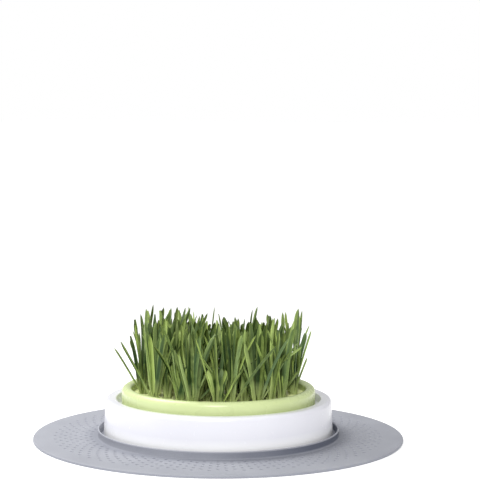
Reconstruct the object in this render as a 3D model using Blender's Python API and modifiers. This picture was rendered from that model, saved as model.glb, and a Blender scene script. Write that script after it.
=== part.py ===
"""A round planter of wheatgrass on a wide splash mat.

A thin grey mat carries a low collar. A white double-walled bowl stands in the collar and holds the
growing medium. A lime cover with a square grid rests in the bowl's groove, and tufts of young wheat
stand in holes in the medium and rise through the grid. Metres, +Z up, origin at the middle of the
mat's underside.
"""

import math
import random

import bmesh
import bpy
from mathutils import Vector
from mathutils.bvhtree import BVHTree

MM = 0.001
TURN_STEPS = 48
GAP = 0.3 * MM

# Splash mat with its collar and the low rib that centres the bowl
MAT_RADIUS = 185 * MM
MAT_THICKNESS = 2.5 * MM
MAT_EDGE = 0.8 * MM
COLLAR_HEIGHT = 10.4 * MM
COLLAR_RADIUS = 121.1 * MM
COLLAR_FOOT_RADIUS = 122.8 * MM
COLLAR_WALL = 1.8 * MM
RIB_RADIUS = 110.5 * MM
RIB_WIDTH = 2.2 * MM
RIB_HEIGHT = 3 * MM

# White bowl: an outer skirt, a groove for the cover and a well for the growing medium
BOWL_FOOT_RADIUS = 115 * MM
BOWL_SHOULDER_RADIUS = 113.2 * MM
BOWL_TOP = 40.8 * MM
BOWL_MOUTH_RADIUS = 102.2 * MM
SHOULDER_ROUND = 4 * MM
MOUTH_ROUND = 1.2 * MM
BOWL_WALL = 2.4 * MM
GROOVE_FLOOR = 31.8 * MM
WELL_RADIUS = 90.6 * MM
WELL_TOP = 39 * MM
WELL_FLOOR = 8.4 * MM
WELL_CORNER = 3 * MM
WELL_DRAFT = 0.6 * MM

# Lime cover with its grid
COVER_RADIUS = 96.9 * MM
COVER_CREST = 52.2 * MM
COVER_CREST_RADIUS = 91.8 * MM
COVER_INNER_RADIUS = 86.8 * MM
COVER_EDGE_HEIGHT = 49.4 * MM
COVER_WALL = 2.1 * MM
GRID_TOP = 44.2 * MM
GRID_THICKNESS = 2.6 * MM
GRID_PITCH = 12.5 * MM
GRID_BAR = 2.4 * MM
GRID_MARGIN = 3 * MM

# Growing medium and the holes that the tufts stand in
MEDIUM_TOP = 38.6 * MM
HOLE_RADIUS = 4.2 * MM
HOLE_FLOOR = 24 * MM

# Tufts: the crown is the bundle of sheaths at a tuft's foot
GRASS_SEED = 777
TUFT_COUNT = 52
TUFT_REACH = 79.5 * MM
TUFT_JITTER = 1.1 * MM
CROWN_SIDES = 6
CROWN_RADIUS = 3.5 * MM
CROWN_TOP_RADIUS = 3.2 * MM
CROWN_TOP = 47 * MM
SHORT_TUFTS = 0.16
SHORT_VIGOUR = (0.45, 0.62)
TALL_VIGOUR = (0.86, 1)
MIDDLE_GROWTH = 0.87

# Blades: three corners at each cut along the length, two edges and a keel, and a pointed tip
ROOT_HEIGHT = 43 * MM
ROOT_RING = 1.8 * MM
MIDDLE_BLADE = 0.15
BLADES_PER_TUFT = (6, 8)
BLADE_LENGTH = 96 * MM
LENGTH_SHARES = (0.6, 1, 0.95)
BLADE_WIDTH = (4.2 * MM, 6 * MM)
ROOT_WIDTH = 0.38
FULL_WIDTH_AT = 0.4
POINT_LENGTH = 0.22
KEEL = 0.3
BLADE_CUTS = (0, 0.34, 0.82)
SPINE_STEPS = 24
CLEARANCE = 0.5 * MM

# How far a blade's direction strays from its place in the tuft, its lean and bend in degrees, its twist
# in radians, and how much straighter and shorter it is when drawn again or beside the cover's rim
STRAY = 0.4
LEAST_LEAN = 3
MORE_LEAN = 16
BENDS = (2, 5, 9, 15, 26)
BEND_SPREAD = (0.7, 1.2)
TWIST = 0.8
TRIES = 70
STRAIGHTER = 0.6
SHORTER = 0.3
STRAIGHTER_BY_RIM = 0.6

# Corner numbers of a blade's faces: its foot, its flat lower walls, its twisted upper walls, split the
# same way on each side, and the faces round its tip
BLADE_FOOT = (0, 2, 1)
LOWER_WALLS = ((0, 1, 4, 3), (1, 2, 5, 4), (2, 0, 3, 5))
UPPER_WALLS = ((0, 1, 4), (0, 4, 3), (1, 2, 4), (2, 5, 4), (2, 0, 5), (0, 3, 5))
BLADE_POINT = ((0, 1, 3), (1, 2, 3), (2, 0, 3))

# Linear colour and roughness of each material
LOOKS = {
    "mat_grey": ((0.36, 0.39, 0.46), 0.55),
    "bowl_white": ((0.88, 0.88, 0.90), 0.22),
    "cover_lime": ((0.66, 0.82, 0.26), 0.25),
    "medium_brown": ((0.20, 0.13, 0.07), 0.95),
    "grass_green": ((0.12, 0.24, 0.05), 0.45),
}


def clear_scene():
    for obj in list(bpy.data.objects):
        bpy.data.objects.remove(obj, do_unlink=True)


def new_collection(name):
    made = bpy.data.collections.new(name)
    bpy.context.scene.collection.children.link(made)
    return made


def material(name):
    colour, roughness = LOOKS[name]
    made = bpy.data.materials.new(name)
    made.use_nodes = True
    shader = made.node_tree.nodes["Principled BSDF"]
    shader.inputs["Base Color"].default_value = (*colour, 1)
    shader.inputs["Roughness"].default_value = roughness
    shader.inputs["Metallic"].default_value = 0
    return made


def mesh_from(name, bm):
    mesh = bpy.data.meshes.new(name)
    bm.to_mesh(mesh)
    bm.free()
    return mesh


def add_object(name, mesh, collection, look):
    obj = bpy.data.objects.new(name, mesh)
    collection.objects.link(obj)
    mesh.materials.append(look)
    return obj


def add_cutter(name, bm, collection):
    """A helper for a Boolean, which isn't a piece of the object."""
    obj = bpy.data.objects.new(name, mesh_from(name, bm))
    collection.objects.link(obj)
    obj.hide_render = True
    obj.display_type = "WIRE"
    return obj


def turned(name, profile, collection, look):
    """A profile of (radius, height) turned round Z. It runs down its outer side and is closed."""
    bm = bmesh.new()
    corners = [bm.verts.new((radius, 0, height)) for radius, height in profile]
    starts_on_axis = profile[0][0] == 0
    path = corners if starts_on_axis else [*corners, corners[0]]
    for first, second in zip(path, path[1:]):
        bm.edges.new((first, second))
    obj = add_object(name, mesh_from(name, bm), collection, look)
    screw = obj.modifiers.new("Turn", "SCREW")
    screw.steps = TURN_STEPS
    screw.render_steps = TURN_STEPS
    screw.use_merge_vertices = True
    screw.merge_threshold = 0.00001
    return obj


def boolean(obj, name, operation, other):
    modifier = obj.modifiers.new(name, "BOOLEAN")
    modifier.operation = operation
    modifier.object = other


def add_cylinder(bm, centre, radius, bottom, top, sides, top_radius=None):
    """An upright prism or frustum with its caps, its first corner towards +X."""
    made = bmesh.ops.create_cone(
        bm,
        cap_ends=True,
        segments=sides,
        radius1=radius,
        radius2=radius if top_radius is None else top_radius,
        depth=top - bottom,
    )
    for vertex in made["verts"]:
        x, y, z = vertex.co
        vertex.co = (y + centre[0], -x + centre[1], z + (top + bottom) / 2)


def add_box(bm, centre, size):
    made = bmesh.ops.create_cube(bm, size=1)
    bmesh.ops.scale(bm, vec=size, verts=made["verts"])
    bmesh.ops.translate(bm, verts=made["verts"], vec=centre)


def arc(centre, radius, start, end, count):
    """Points on an arc of a profile between two angles in degrees, counted from its +X."""
    points = []
    for step in range(count):
        angle = math.radians(start + (end - start) * step / (count - 1))
        points.append((centre[0] + radius * math.cos(angle), centre[1] + radius * math.sin(angle)))
    return points


def mat_profile():
    lip_inside = COLLAR_RADIUS - COLLAR_WALL
    rib_inside = RIB_RADIUS - RIB_WIDTH
    rib_top = MAT_THICKNESS + RIB_HEIGHT
    return [
        (0, MAT_THICKNESS),
        (rib_inside, MAT_THICKNESS),
        (rib_inside, rib_top),
        (RIB_RADIUS, rib_top),
        (RIB_RADIUS, MAT_THICKNESS),
        (lip_inside - 0.4 * MM, MAT_THICKNESS),
        (lip_inside, COLLAR_HEIGHT),
        (COLLAR_RADIUS, COLLAR_HEIGHT),
        (COLLAR_RADIUS + 0.5 * MM, MAT_THICKNESS + 1.3 * MM),
        (COLLAR_FOOT_RADIUS, MAT_THICKNESS),
        (MAT_RADIUS - MAT_EDGE, MAT_THICKNESS),
        (MAT_RADIUS, MAT_THICKNESS - MAT_EDGE),
        (MAT_RADIUS, 0),
        (0, 0),
    ]


def bowl_profile():
    foot = MAT_THICKNESS + GAP
    round_centre = (BOWL_SHOULDER_RADIUS - SHOULDER_ROUND, BOWL_TOP - SHOULDER_ROUND)
    skirt_inside = BOWL_SHOULDER_RADIUS - BOWL_WALL
    groove_back = BOWL_MOUTH_RADIUS + BOWL_WALL
    well_lip = WELL_RADIUS + BOWL_WALL
    well_foot = WELL_RADIUS - WELL_DRAFT
    corner_top = WELL_FLOOR + WELL_CORNER
    return [
        (0, WELL_FLOOR),
        (well_foot - WELL_CORNER, WELL_FLOOR),
        (well_foot, corner_top),
        (WELL_RADIUS, WELL_TOP),
        (well_lip, WELL_TOP),
        (well_lip, GROOVE_FLOOR),
        (BOWL_MOUTH_RADIUS, GROOVE_FLOOR),
        (BOWL_MOUTH_RADIUS, BOWL_TOP - MOUTH_ROUND),
        (BOWL_MOUTH_RADIUS + MOUTH_ROUND, BOWL_TOP),
        *arc(round_centre, SHOULDER_ROUND, 90, 0, 3),
        (BOWL_FOOT_RADIUS, foot),
        (BOWL_FOOT_RADIUS - BOWL_WALL, foot),
        (skirt_inside, BOWL_TOP - BOWL_WALL),
        (groove_back, BOWL_TOP - BOWL_WALL),
        (groove_back, GROOVE_FLOOR - BOWL_WALL),
        (well_lip, GROOVE_FLOOR - BOWL_WALL),
        (well_foot + BOWL_WALL, corner_top - BOWL_WALL),
        (well_foot - WELL_CORNER + BOWL_WALL / 2, WELL_FLOOR - BOWL_WALL),
        (0, WELL_FLOOR - BOWL_WALL),
    ]


def cover_profile():
    foot = GROOVE_FLOOR + GAP
    outer_round = COVER_RADIUS - COVER_CREST_RADIUS
    round_centre = (COVER_CREST_RADIUS, COVER_CREST - outer_round)
    wall_inside = COVER_RADIUS - COVER_WALL
    collar_outside = COVER_INNER_RADIUS + COVER_WALL
    collar_foot = GRID_TOP - GRID_THICKNESS - 0.5 * MM
    return [
        *arc(round_centre, outer_round, 90, 0, 4),
        (COVER_RADIUS, foot),
        (wall_inside, foot),
        (wall_inside, round_centre[1]),
        (COVER_CREST_RADIUS, COVER_CREST - COVER_WALL),
        (collar_outside, COVER_EDGE_HEIGHT - COVER_WALL),
        (collar_outside, collar_foot),
        (COVER_INNER_RADIUS, collar_foot),
        (COVER_INNER_RADIUS, COVER_EDGE_HEIGHT),
        (COVER_INNER_RADIUS + 1.6 * MM, COVER_CREST - 0.9 * MM),
    ]


def medium_profile():
    foot = WELL_RADIUS - WELL_DRAFT - GAP
    floor = WELL_FLOOR + GAP
    return [
        (0, MEDIUM_TOP),
        (WELL_RADIUS - GAP, MEDIUM_TOP),
        (foot, floor + WELL_CORNER),
        (foot - WELL_CORNER, floor),
        (0, floor),
    ]


def grid_cells(reach):
    """Middles of the grid's square openings within reach of the axis."""
    count = int(reach / GRID_PITCH)
    cells = []
    for row in range(-count, count + 1):
        for column in range(-count, count + 1):
            cell = (column * GRID_PITCH, row * GRID_PITCH)
            if math.hypot(*cell) <= reach:
                cells.append(cell)
    return cells


def build_cover(parts, cutters, look):
    """A turned rim joined to a flat plate, with a square cut through the plate for each opening."""
    cover = turned("cover", cover_profile(), parts, look)
    bm = bmesh.new()
    plate_radius = COVER_INNER_RADIUS + COVER_WALL / 2
    add_cylinder(bm, (0, 0), plate_radius, GRID_TOP - GRID_THICKNESS, GRID_TOP, TURN_STEPS)
    boolean(cover, "Grid plate", "UNION", add_cutter("grid_plate", bm, cutters))

    bm = bmesh.new()
    opening = GRID_PITCH - GRID_BAR
    for x, y in grid_cells(COVER_INNER_RADIUS - GRID_MARGIN):
        add_box(bm, (x, y, GRID_TOP), (opening, opening, 4 * GRID_THICKNESS))
    holes = add_cutter("grid_holes", bm, cutters)
    bm = bmesh.new()
    limit_radius = COVER_INNER_RADIUS - 0.6 * MM
    half_height = 4 * GRID_THICKNESS
    add_cylinder(bm, (0, 0), limit_radius, GRID_TOP - half_height, GRID_TOP + half_height, TURN_STEPS)
    boolean(holes, "Within the rim", "INTERSECT", add_cutter("grid_limit", bm, cutters))
    boolean(cover, "Openings", "DIFFERENCE", holes)


def build_medium(parts, cutters, look, places):
    """A cake of growing medium with a plain hole for each tuft."""
    medium = turned("growing_medium", medium_profile(), parts, look)
    bm = bmesh.new()
    for place in places:
        add_cylinder(bm, place, HOLE_RADIUS, HOLE_FLOOR, MEDIUM_TOP + 2 * MM, CROWN_SIDES)
    boolean(medium, "Tuft holes", "DIFFERENCE", add_cutter("tuft_holes", bm, cutters))


def tuft_places():
    """Every second opening, as on a chessboard, less a few that aren't neighbours, a little off centre."""
    draw = random.Random(GRASS_SEED)
    cells = [cell for cell in grid_cells(TUFT_REACH) if round(sum(cell) / GRID_PITCH) % 2 == 0]
    bare = []
    for cell in draw.sample(cells, len(cells)):
        is_apart = all(math.dist(cell, other) > 1.5 * GRID_PITCH for other in bare)
        if is_apart and len(bare) < len(cells) - TUFT_COUNT:
            bare.append(cell)
    taken = sorted((cell for cell in cells if cell not in bare), key=lambda cell: (-cell[1], cell[0]))
    jitter = TUFT_JITTER
    return [(x + draw.uniform(-jitter, jitter), y + draw.uniform(-jitter, jitter)) for x, y in taken]


def draw_blade(draw, place, vigour, fan, from_middle, attempt):
    """The numbers of one blade. Each new attempt is a little straighter and shorter than the last."""
    azimuth = fan + draw.uniform(-STRAY, STRAY)
    outward = math.atan2(place[1], place[0])
    near_rim = math.hypot(*place) / TUFT_REACH
    facing_rim = near_rim * max(0, math.cos(azimuth - outward))
    again = attempt / TRIES
    ease = (1 - STRAIGHTER * again) * (1 - STRAIGHTER_BY_RIM * facing_rim)
    ring = ROOT_RING * from_middle
    return {
        "root": (place[0] + ring * math.cos(fan), place[1] + ring * math.sin(fan)),
        "azimuth": azimuth,
        "lean": math.radians(LEAST_LEAN + MORE_LEAN * draw.random() ** 2) * from_middle * ease,
        "bend": math.radians(draw.choice(BENDS) * draw.uniform(*BEND_SPREAD)) * ease,
        "turn": draw.uniform(-math.pi / 2, math.pi / 2),
        "twist": draw.uniform(-TWIST, TWIST),
        "length": BLADE_LENGTH * vigour * draw.triangular(*LENGTH_SHARES) * (1 - SHORTER * again),
        "width": draw.uniform(*BLADE_WIDTH),
    }


def blade_width(share):
    """Width along a blade as a share of its widest: a narrow sheath, a long leaf, a drawn-out point."""
    sheath = ROOT_WIDTH + (1 - ROOT_WIDTH) * min(1, share / FULL_WIDTH_AT) ** 0.8
    point = min(1, (1 - share) / POINT_LENGTH) ** 0.62
    return sheath * point


def blade_spine(blade):
    """Points and headings along the middle of a blade, which leans and then bends over."""
    plane = Vector((math.cos(blade["azimuth"]), math.sin(blade["azimuth"]), 0))
    points = [Vector((*blade["root"], ROOT_HEIGHT))]
    headings = []
    for step in range(SPINE_STEPS + 1):
        angle = blade["lean"] + blade["bend"] * (step / SPINE_STEPS) ** 1.7
        headings.append(plane * math.sin(angle) + Vector((0, 0, math.cos(angle))))
        points.append(points[-1] + headings[-1] * blade["length"] / SPINE_STEPS)
    return points, headings


def blade_corners(blade, fatter=0.0):
    """Left edge, right edge and keel at each cut, and the tip last. The two lowest cuts lie parallel."""
    points, headings = blade_spine(blade)
    across = Vector((-math.sin(blade["azimuth"]), math.cos(blade["azimuth"]), 0))
    corners = []
    for cut in BLADE_CUTS:
        step = int(cut * SPINE_STEPS)
        middle = points[step].lerp(points[step + 1], cut * SPINE_STEPS - step)
        turned_at = max(cut, BLADE_CUTS[1])
        normal = headings[int(turned_at * SPINE_STEPS)].cross(across)
        angle = blade["turn"] + blade["twist"] * turned_at
        side = across * math.cos(angle) + normal * math.sin(angle)
        back = normal * math.cos(angle) - across * math.sin(angle)
        width = blade["width"] * blade_width(cut)
        half = side * (width / 2 + fatter)
        front = middle - back * (fatter * 0.8)
        corners += [front - half, front + half, middle + back * (width * KEEL + fatter)]
    corners.append(points[SPINE_STEPS] + headings[-1] * fatter)
    return corners


def blade_faces():
    """Corner numbers of all faces of a blade, each facing out."""
    faces = [BLADE_FOOT, *LOWER_WALLS]
    last = len(BLADE_CUTS) - 1
    for ring in range(1, last):
        faces += [tuple(3 * ring + corner for corner in face) for face in UPPER_WALLS]
    faces += [tuple(3 * last + corner for corner in face) for face in BLADE_POINT]
    return faces


def tree_of(corners):
    return BVHTree.FromPolygons(corners, blade_faces())


def above_crown(corners):
    """The same blade cut off where it leaves the crown."""
    lifted = []
    for low, high in zip(corners[:3], corners[3:6]):
        share = (CROWN_TOP + 0.2 * MM - low.z) / (high.z - low.z)
        lifted.append(low.lerp(high, share))
    return lifted + corners[3:]


def crown_tree(place):
    bm = bmesh.new()
    grow = CLEARANCE
    add_cylinder(
        bm, place, CROWN_RADIUS + grow, HOLE_FLOOR, CROWN_TOP + grow, CROWN_SIDES, CROWN_TOP_RADIUS + grow
    )
    tree = BVHTree.FromBMesh(bm)
    bm.free()
    return tree


def clears_cover(corners):
    """True where a blade's lower half stays inside the cover's rim."""
    limit = COVER_INNER_RADIUS - 1 * MM
    for low, high in zip(corners[:3], corners[3:6]):
        share = (COVER_CREST + 2 * MM - low.z) / (high.z - low.z)
        beside_rim = low.lerp(high, min(1, share))
        if math.hypot(beside_rim.x, beside_rim.y) > limit:
            return False
    return True


def grow_tufts():
    """A place and its blades for each tuft. A blade that would meet another is drawn again. The grass in
    the middle is shorter than at the two sides."""
    places = tuft_places()
    crowns = [crown_tree(place) for place in places]
    tufts = []
    grown_trees = []
    for index, place in enumerate(places):
        draw = random.Random(GRASS_SEED * 1000 + index)
        is_short = draw.random() < SHORT_TUFTS
        vigour = draw.uniform(*(SHORT_VIGOUR if is_short else TALL_VIGOUR))
        vigour *= MIDDLE_GROWTH + (1 - MIDDLE_GROWTH) * abs(place[0]) / TUFT_REACH
        ring_count = draw.randint(*BLADES_PER_TUFT) - 1
        others = grown_trees + crowns[:index] + crowns[index + 1 :]
        blades = []
        own_trees = []
        for number in range(ring_count + 1):
            fan = 2 * math.pi * number / ring_count
            from_middle = 1 if number < ring_count else MIDDLE_BLADE
            for attempt in range(TRIES):
                blade = draw_blade(draw, place, vigour, fan, from_middle, attempt)
                corners = blade_corners(blade)
                fat = blade_corners(blade, CLEARANCE)
                free_tree = tree_of(above_crown(corners))
                if not clears_cover(fat) or any(free_tree.overlap(tree) for tree in own_trees):
                    continue
                fat_tree = tree_of(fat)
                if any(fat_tree.overlap(tree) for tree in others):
                    continue
                blades.append(blade)
                own_trees.append(free_tree)
                break
        grown_trees += [tree_of(blade_corners(blade)) for blade in blades]
        tufts.append((place, blades))
    return tufts


def build_tuft(name, place, blades, parts, look):
    """A crown with its blades, joined by one union."""
    bm = bmesh.new()
    foot = HOLE_FLOOR + GAP
    add_cylinder(bm, place, CROWN_RADIUS, foot, CROWN_TOP, CROWN_SIDES, CROWN_TOP_RADIUS)
    tuft = add_object(name, mesh_from(name, bm), parts, look)
    leaves = bpy.data.collections.new(name + "_leaves")
    for blade in blades:
        mesh = bpy.data.meshes.new("leaf")
        mesh.from_pydata(blade_corners(blade), [], blade_faces())
        leaves.objects.link(bpy.data.objects.new("leaf", mesh))
    union = tuft.modifiers.new("Leaves", "BOOLEAN")
    union.operand_type = "COLLECTION"
    union.collection = leaves
    union.operation = "UNION"
    union.solver = "MANIFOLD"
    evaluated = tuft.evaluated_get(bpy.context.evaluated_depsgraph_get())
    joined = bpy.data.meshes.new_from_object(evaluated)
    tuft.modifiers.clear()
    tuft.data = joined
    for leaf in list(leaves.objects):
        bpy.data.objects.remove(leaf, do_unlink=True)
    bpy.data.collections.remove(leaves)


def build():
    clear_scene()
    parts = new_collection("grass_planter")
    cutters = new_collection("cutters")
    looks = {name: material(name) for name in LOOKS}
    tufts = grow_tufts()
    turned("splash_mat", mat_profile(), parts, looks["mat_grey"])
    turned("bowl", bowl_profile(), parts, looks["bowl_white"])
    build_cover(parts, cutters, looks["cover_lime"])
    build_medium(parts, cutters, looks["medium_brown"], [place for place, blades in tufts])
    for number, (place, blades) in enumerate(tufts, start=1):
        build_tuft(f"tuft_{number:02d}", place, blades, parts, looks["grass_green"])
    print(sum(len(blades) for place, blades in tufts), "blades in", len(tufts), "tufts")


build()
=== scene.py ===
import math
import random

import bmesh
import bpy
from mathutils import Euler, Matrix, Vector
from mathutils.bvhtree import BVHTree


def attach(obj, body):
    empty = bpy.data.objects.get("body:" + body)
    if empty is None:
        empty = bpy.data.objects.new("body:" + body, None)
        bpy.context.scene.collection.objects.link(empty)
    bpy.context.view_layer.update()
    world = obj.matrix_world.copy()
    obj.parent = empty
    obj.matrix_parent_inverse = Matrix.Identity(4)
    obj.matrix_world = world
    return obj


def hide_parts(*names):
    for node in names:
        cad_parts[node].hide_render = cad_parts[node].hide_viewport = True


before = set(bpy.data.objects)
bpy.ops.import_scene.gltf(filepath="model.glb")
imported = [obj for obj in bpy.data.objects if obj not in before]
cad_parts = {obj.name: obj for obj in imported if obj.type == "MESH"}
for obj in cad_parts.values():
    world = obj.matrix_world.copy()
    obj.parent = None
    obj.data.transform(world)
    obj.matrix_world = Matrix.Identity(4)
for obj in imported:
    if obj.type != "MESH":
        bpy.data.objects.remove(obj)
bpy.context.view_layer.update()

# Splash mat. A thin disc of thermoplastic rubber, moulded in one shot with a low collar that the bowl
# stands in and a rib inside it that centres the bowl's skirt. Eight rings of small dimples, staggered
# like brickwork, run round the collar and grow a little shallower towards the plain band at the rim.
MM = 0.001
DIMPLES_AROUND = 64
DIMPLE_RINGS = 8
DIMPLE_PITCH = 5.03
DIMPLE_RADIUS = 1.85
DIMPLE_DEPTH = 1.1
CELL_SIDE_STEPS = 4
MAT_TOP = 2.5
BAND_INSIDE = 124.9
BAND_OUTSIDE = BAND_INSIDE + DIMPLE_RINGS * DIMPLE_PITCH
CELL_WIDTH = math.pi * (BAND_INSIDE + BAND_OUTSIDE) / DIMPLES_AROUND
MAT_STEPS = DIMPLES_AROUND * CELL_SIDE_STEPS
SMOOTH_UNDER = math.radians(38)


def arc(centre, radius, start, end, count):
    """Points of a profile on an arc between two angles in degrees, counted from outwards."""
    points = []
    for step in range(count):
        angle = math.radians(start + (end - start) * step / (count - 1))
        points.append((centre[0] + radius * math.cos(angle), centre[1] + radius * math.sin(angle)))
    return points


def join_rings(bm, rings):
    """Faces between closed rings of one count. A vertex that a ring repeats is used once in a face."""
    for first, second in zip(rings, rings[1:]):
        for number in range(len(first)):
            after = (number + 1) % len(first)
            corners = dict.fromkeys((first[number], first[after], second[after], second[number]))
            bm.faces.new(tuple(corners))


def turn_profile(bm, profile, steps):
    """Turns (radius, height) points in millimetres round Z. One on the axis gives one shared vertex."""
    angles = [2 * math.pi * step / steps for step in range(steps)]
    rings = []
    for radius, height in profile:
        if radius == 0:
            rings.append([bm.verts.new((0, 0, height * MM))] * steps)
        else:
            spokes = [(radius * math.cos(a), radius * math.sin(a)) for a in angles]
            rings.append([bm.verts.new((x * MM, y * MM, height * MM)) for x, y in spokes])
    join_rings(bm, rings)


def add_object(name, data):
    """An object at the origin that holds a mesh, a light or a camera."""
    obj = bpy.data.objects.new(name, data)
    bpy.context.scene.collection.objects.link(obj)
    return obj


def new_object(name, bm):
    """An object at the origin with the mesh that bm holds."""
    mesh = bpy.data.meshes.new(name)
    bm.to_mesh(mesh)
    bm.free()
    return add_object(name, mesh)


def close_and_shade(mesh, weld=0.002 * MM):
    """Welds doubles, points every face outwards and shades smooth all but the true corners."""
    bm = bmesh.new()
    bm.from_mesh(mesh)
    bmesh.ops.remove_doubles(bm, verts=bm.verts, dist=weld)
    bmesh.ops.dissolve_degenerate(bm, edges=bm.edges, dist=weld / 2)
    bmesh.ops.recalc_face_normals(bm, faces=bm.faces)
    for face in bm.faces:
        face.smooth = True
    bm.to_mesh(mesh)
    bm.free()
    mesh.set_sharp_from_angle(angle=SMOOTH_UNDER)


def set_inputs(node, inputs):
    """Sets a node's inputs, by place or by name. Each takes a constant, a socket, another node's first
    output, or a list of these where an input takes several links."""
    sockets = [socket for socket in node.inputs if socket.enabled]
    named = {socket.name: socket for socket in reversed(sockets)}
    for key, value in inputs.items() if isinstance(inputs, dict) else enumerate(inputs):
        socket = named[key] if isinstance(key, str) else sockets[key]
        for source in value if isinstance(value, list) else [value]:
            if isinstance(source, bpy.types.Node):
                source = next(output for output in source.outputs if output.enabled)
            if isinstance(source, bpy.types.NodeSocket):
                node.id_data.links.new(source, socket)
            else:
                socket.default_value = source


def add(tree, kind, inputs=(), **settings):
    """Adds a node to a tree, with its settings and its inputs."""
    node = tree.nodes.new(kind)
    for setting, value in settings.items():
        setattr(node, setting, value)
    set_inputs(node, inputs)
    return node


def new_tree(title, **inputs):
    """A Geometry Nodes tree with a geometry input and output, and the named inputs of given kinds."""
    tree = bpy.data.node_groups.new(title, "GeometryNodeTree")
    tree.interface.new_socket("Geometry", in_out="INPUT", socket_type="NodeSocketGeometry")
    for label, kind in inputs.items():
        name = label.replace("_", " ")
        tree.interface.new_socket(name, in_out="INPUT", socket_type="NodeSocket" + kind)
    tree.interface.new_socket("Geometry", in_out="OUTPUT", socket_type="NodeSocketGeometry")
    return tree, tree.nodes.new("NodeGroupInput").outputs


def end_tree(tree, geometry, material):
    """Closes a tree with Realize Instances and Set Material, because the export drops instances."""
    real = add(tree, "GeometryNodeRealizeInstances", [geometry])
    dressed = add(tree, "GeometryNodeSetMaterial", {"Geometry": real, "Material": material})
    add(tree, "NodeGroupOutput", [dressed])


def run_tree(obj, tree, **values):
    """Puts a tree on an object. Each input is set by its socket's identifier."""
    modifier = obj.modifiers.new(tree.name, "NODES")
    modifier.node_group = tree
    for item in tree.interface.items_tree:
        label = item.name.replace(" ", "_")
        if item.in_out == "INPUT" and label in values:
            modifier[item.identifier] = values[label]


def keep_result(obj):
    """Turns what an object's modifiers make into its own plain mesh, and removes them."""
    evaluated = obj.evaluated_get(bpy.context.evaluated_depsgraph_get())
    mesh = bpy.data.meshes.new_from_object(evaluated)
    obj.modifiers.clear()
    obj.data = mesh


def linear(hex_colour):
    """The linear colour of an sRGB hex value."""
    channels = [int(hex_colour[place : place + 2], 16) / 255 for place in (1, 3, 5)]
    return (*(c / 12.92 if c <= 0.04045 else ((c + 0.055) / 1.055) ** 2.4 for c in channels), 1)


def new_material(name):
    """A material, its tree, its shader, and the Object coordinates that its patterns read."""
    material = bpy.data.materials.new(name)
    material.use_nodes = True
    tree = material.node_tree
    place = add(tree, "ShaderNodeTexCoord").outputs["Object"]
    return material, tree, tree.nodes["Principled BSDF"], place


def clouded_colour(tree, place, size, detail, first, second):
    """Clouds of a given size in metres, and the mix of two colours that follows them."""
    clouds = add(tree, "ShaderNodeTexNoise", {"Vector": place, "Scale": 1 / size, "Detail": detail})
    share = add(tree, "ShaderNodeMapRange", [clouds, 0.3, 0.7, 0.0, 1.0])
    colours = [linear(first), linear(second)]
    return clouds, add(tree, "ShaderNodeMix", [share, *colours], data_type="RGBA")


# Moulded thermoplastic rubber: a soft satin grey that leans to blue, faintly clouded, with the dull
# grain of an eroded mould. The real grain is about 0.2 mm, drawn as 1.2 mm so that it shows. Painted
# shade darkens the dimples' insides and, less, the rim's lower edge. The collar's wall carries painted
# shade that deepens towards its right, and so, faintly, does the flat round its foot.
mat_rubber, tree, shader, place = new_material("moulded_thermoplastic_rubber")
clouds, grey = clouded_colour(tree, place, 38 * MM, 4.0, "#9EA0A9", "#A6A8B0")
at = add(tree, "ShaderNodeSeparateXYZ", [place])
height = at.outputs["Z"]
level = add(tree, "ShaderNodeVectorMath", [place, (1, 1, 0)], operation="MULTIPLY")
from_axis = add(tree, "ShaderNodeVectorMath", [level], operation="LENGTH").outputs["Value"]
# Painted shade: darker below the mat's top, in the dimples and, less, at the rim's edge
below_top = add(tree, "ShaderNodeMapRange", [height, 1.6 * MM, 2.4 * MM, 0.85, 0.0])
not_rim = add(tree, "ShaderNodeMapRange", [from_axis, 170 * MM, 178 * MM, 1.0, 0.35])
sunken = add(tree, "ShaderNodeMath", [below_top, not_rim], operation="MULTIPLY")
# Painted shade on the collar's wall, light on its left and deeper towards its right
above_foot = add(tree, "ShaderNodeMapRange", [height, 2.8 * MM, 4.5 * MM, 0.0, 1.0])
above_wall = add(tree, "ShaderNodeMapRange", [height, 8.8 * MM, 9.8 * MM, 0.0, 1.0])
wall = add(tree, "ShaderNodeMath", [above_foot, above_wall], operation="SUBTRACT")
shade_to_right = add(tree, "ShaderNodeMapRange", [at.outputs["X"], -40 * MM, 90 * MM, 0.08, 0.78])
painted_shade = add(tree, "ShaderNodeMath", [wall, shade_to_right, sunken], operation="MULTIPLY_ADD")
# Painted shadow on the flat round the collar's foot, fading outwards
around_foot = add(tree, "ShaderNodeMapRange", [from_axis, 122 * MM, 138 * MM, 0.28, 0.0])
on_flat = add(tree, "ShaderNodeMath", [1.0, above_foot], operation="SUBTRACT")
painted_shade = add(tree, "ShaderNodeMath", [around_foot, on_flat, painted_shade], operation="MULTIPLY_ADD")
rubber = add(tree, "ShaderNodeMix", [painted_shade, grey, linear("#474E62")], data_type="RGBA")
grain = add(tree, "ShaderNodeTexNoise", {"Vector": place, "Scale": 1 / (1.2 * MM), "Detail": 3.0})
speckled = add(tree, "ShaderNodeMapRange", [grain, 0.25, 0.75, 0.93, 1.05])
speckle = add(tree, "ShaderNodeVectorMath", [rubber, speckled], operation="MULTIPLY")
dull = add(tree, "ShaderNodeMapRange", [clouds, 0.3, 0.7, 0.5, 0.62])
bump = add(tree, "ShaderNodeBump", {"Height": grain, "Strength": 0.35, "Distance": 0.12 * MM})
set_inputs(shader, {"Base Color": speckle, "Roughness": dull, "Normal": bump, "IOR": 1.5})

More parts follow.
